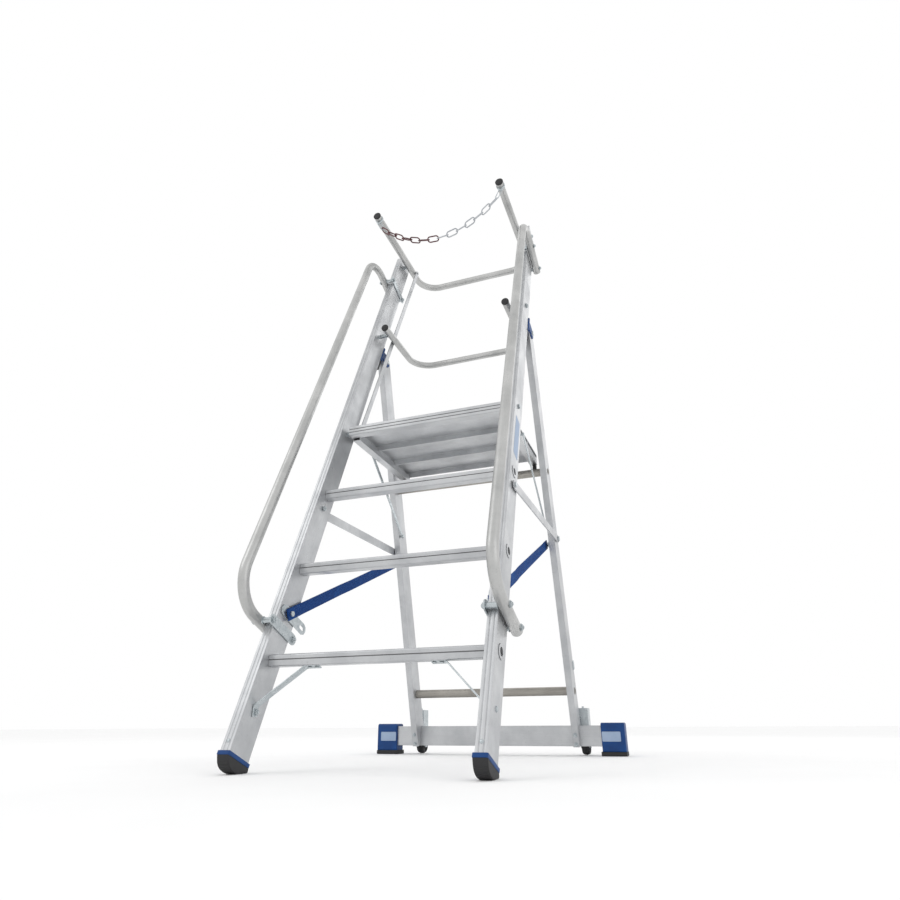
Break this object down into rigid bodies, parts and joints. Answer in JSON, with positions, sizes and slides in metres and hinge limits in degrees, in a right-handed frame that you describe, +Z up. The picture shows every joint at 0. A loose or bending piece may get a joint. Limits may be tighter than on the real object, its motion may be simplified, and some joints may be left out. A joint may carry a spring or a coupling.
{
  "type": "rolling warehouse ladder",
  "caption": "Folding rolling platform ladder with hand rails, a guard rail with a chain, side straps and a wide rear bar on sprung castors.",
  "frame": {"origin": "on the floor, under the middle of the bounding box", "axes": "+X to the climber's right, +Y away from the climber, +Z up"},
  "size_m": [0.892, 1.2055, 2.002],
  "materials": {
    "aluminium": "satin mill finish, lightly mottled",
    "worn_aluminium": "duller, warm grey",
    "galvanised_steel": "zinc plated",
    "black_rubber": "matt",
    "blue_plastic": "moulded",
    "blue_webbing": "woven webbing",
    "red_chain": "plastic coated",
    "white_chain": "plastic coated"
  },
  "bodies": {
    "front_frame": {"stile_left": "aluminium", "handrail_left": "aluminium", "handrail_clamp_top_left": "galvanised_steel", "handrail_clamp_bottom_left": "galvanised_steel", "strap_bracket_left": "galvanised_steel", "hinge_bracket_left": "blue_plastic", "front_shoe_left": "black_rubber", "rung_brace_left": "galvanised_steel", "stile_right": "aluminium", "handrail_right": "aluminium", "handrail_clamp_top_right": "galvanised_steel", "handrail_clamp_bottom_right": "galvanised_steel", "strap_bracket_right": "galvanised_steel", "hinge_bracket_right": "blue_plastic", "front_shoe_right": "black_rubber", "rung_brace_right": "galvanised_steel", "rung_1": "aluminium", "rung_2": "aluminium", "rung_3": "aluminium"},
    "rear_frame": {"rear_leg_left": "aluminium", "end_cap_left": "blue_plastic", "cap_sole_left": "black_rubber", "castor_housing_left": "galvanised_steel", "rear_leg_right": "aluminium", "end_cap_right": "blue_plastic", "cap_sole_right": "black_rubber", "castor_housing_right": "galvanised_steel", "rear_rung_1": "worn_aluminium", "rear_rung_2": "worn_aluminium", "traverse": "aluminium"},
    "platform": {"platform_front_profile": "aluminium", "platform_plank_1": "aluminium", "platform_plank_2": "aluminium", "platform_plank_3": "aluminium", "platform_rail_left": "aluminium", "platform_pad_left": "black_rubber", "platform_rail_right": "aluminium", "platform_pad_right": "black_rubber"},
    "knee_rail": {"knee_rail": "aluminium", "knee_rail_cap_left": "black_rubber", "knee_rail_cap_right": "black_rubber"},
    "guard_rail": {"guard_rail": "aluminium", "guard_rail_cap_left": "black_rubber", "guard_rail_cap_right": "black_rubber"},
    "chain": {"chain_left": "red_chain", "chain_right": "white_chain"},
    "strut_left": {"rail_strut_left": "aluminium"},
    "link_left": {"platform_link_left": "galvanised_steel"},
    "stay_left": {"side_stay_left": "aluminium"},
    "strap_front_left": {"strap_front_left": "blue_webbing"},
    "strap_rear_left": {"strap_rear_left": "blue_webbing"},
    "fork_left": {"castor_fork_left": "galvanised_steel"},
    "wheel_left": {"castor_wheel_left": "black_rubber"},
    "strut_right": {"rail_strut_right": "aluminium"},
    "link_right": {"platform_link_right": "galvanised_steel"},
    "stay_right": {"side_stay_right": "aluminium"},
    "strap_front_right": {"strap_front_right": "blue_webbing"},
    "strap_rear_right": {"strap_rear_right": "blue_webbing"},
    "fork_right": {"castor_fork_right": "galvanised_steel"},
    "wheel_right": {"castor_wheel_right": "black_rubber"}
  },
  "joints": [
    {"name": "rear_fold", "type": "hinge", "parent": "front_frame", "child": "rear_frame", "pos_m": [0, 0.09175, 1.39716], "axis": [-1, 0, 0], "range_deg": [0, 36]},
    {"name": "platform_fold", "type": "hinge", "parent": "front_frame", "child": "platform", "pos_m": [0, -0.17726, 0.97108], "axis": [1, 0, 0], "range_deg": [0, 48.5]},
    {"name": "knee_rail_fold", "type": "hinge", "parent": "front_frame", "child": "knee_rail", "pos_m": [0, 0.03211, 1.47805], "axis": [1, 0, 0], "range_deg": [0, 48.5]},
    {"name": "guard_rail_fold", "type": "hinge", "parent": "front_frame", "child": "guard_rail", "pos_m": [0, 0.23213, 1.96237], "axis": [1, 0, 0], "range_deg": [0, 48.5]},
    {"name": "chain_hang", "type": "hinge", "parent": "guard_rail", "child": "chain", "pos_m": [0, -0.07225, 1.912], "axis": [-1, 0, 0], "range_deg": [0, 48.5]},
    {"name": "strut_left_pivot", "type": "hinge", "parent": "platform", "child": "strut_left", "pos_m": [0, -0.12326, 0.97108], "axis": [-1, 0, 0], "range_deg": [0, 48.5]},
    {"name": "link_left_pivot", "type": "hinge", "parent": "rear_frame", "child": "link_left", "pos_m": [0, 0.26775, 0.745], "axis": [-1, 0, 0], "range_deg": [0, 31.88]},
    {"name": "stay_left_pivot", "type": "hinge", "parent": "front_frame", "child": "stay_left", "pos_m": [0, -0.29508, 0.68055], "axis": [1, 0, 0], "range_deg": [0, 60.5]},
    {"name": "strap_left_pivot", "type": "hinge", "parent": "front_frame", "child": "strap_front_left", "pos_m": [0, -0.42737, 0.3576], "axis": [-1, 0, 0], "range_deg": [0, 57.4]},
    {"name": "strap_left_knee", "type": "hinge", "parent": "strap_front_left", "child": "strap_rear_left", "pos_m": [0, -0.1517, 0.47593], "axis": [1, 0, 0], "range_deg": [0, 122.62]},
    {"name": "castor_left_travel", "type": "slide", "parent": "rear_frame", "child": "fork_left", "axis": [0, 0, 1], "range_m": [0, 0.008], "stiffness_N_per_m": 2500, "springref_m": -0.004},
    {"name": "castor_left_spin", "type": "hinge", "parent": "fork_left", "child": "wheel_left", "pos_m": [-0.303, 0.57275, 0.0305], "axis": [1, 0, 0], "continuous": true},
    {"name": "strut_right_pivot", "type": "hinge", "parent": "platform", "child": "strut_right", "pos_m": [0, -0.12326, 0.97108], "axis": [-1, 0, 0], "range_deg": [0, 48.5]},
    {"name": "link_right_pivot", "type": "hinge", "parent": "rear_frame", "child": "link_right", "pos_m": [0, 0.26775, 0.745], "axis": [-1, 0, 0], "range_deg": [0, 31.88]},
    {"name": "stay_right_pivot", "type": "hinge", "parent": "front_frame", "child": "stay_right", "pos_m": [0, -0.29508, 0.68055], "axis": [1, 0, 0], "range_deg": [0, 60.5]},
    {"name": "strap_right_pivot", "type": "hinge", "parent": "front_frame", "child": "strap_front_right", "pos_m": [0, -0.42737, 0.3576], "axis": [-1, 0, 0], "range_deg": [0, 57.4]},
    {"name": "strap_right_knee", "type": "hinge", "parent": "strap_front_right", "child": "strap_rear_right", "pos_m": [0, -0.1517, 0.47593], "axis": [1, 0, 0], "range_deg": [0, 122.62]},
    {"name": "castor_right_travel", "type": "slide", "parent": "rear_frame", "child": "fork_right", "axis": [0, 0, 1], "range_m": [0, 0.008], "stiffness_N_per_m": 2500, "springref_m": -0.004},
    {"name": "castor_right_spin", "type": "hinge", "parent": "fork_right", "child": "wheel_right", "pos_m": [0.303, 0.57275, 0.0305], "axis": [1, 0, 0], "continuous": true}
  ],
  "couplings": [
    {"joint": "platform_fold", "follows": "rear_fold", "ratio": 1.3333},
    {"joint": "knee_rail_fold", "follows": "rear_fold", "ratio": 1.3333},
    {"joint": "guard_rail_fold", "follows": "rear_fold", "ratio": 1.3333},
    {"joint": "chain_hang", "follows": "rear_fold", "ratio": 1.3333},
    {"joint": "strut_left_pivot", "follows": "rear_fold", "ratio": 1.3333},
    {"joint": "link_left_pivot", "follows": "rear_fold", "ratio": 0.8717},
    {"joint": "stay_left_pivot", "follows": "rear_fold", "ratio": 1.6667},
    {"joint": "strap_left_pivot", "follows": "rear_fold", "ratio": 1.5804},
    {"joint": "strap_left_knee", "follows": "rear_fold", "ratio": 3.3923},
    {"joint": "strut_right_pivot", "follows": "rear_fold", "ratio": 1.3333},
    {"joint": "link_right_pivot", "follows": "rear_fold", "ratio": 0.8717},
    {"joint": "stay_right_pivot", "follows": "rear_fold", "ratio": 1.6667},
    {"joint": "strap_right_pivot", "follows": "rear_fold", "ratio": 1.5804},
    {"joint": "strap_right_knee", "follows": "rear_fold", "ratio": 3.3923}
  ]
}
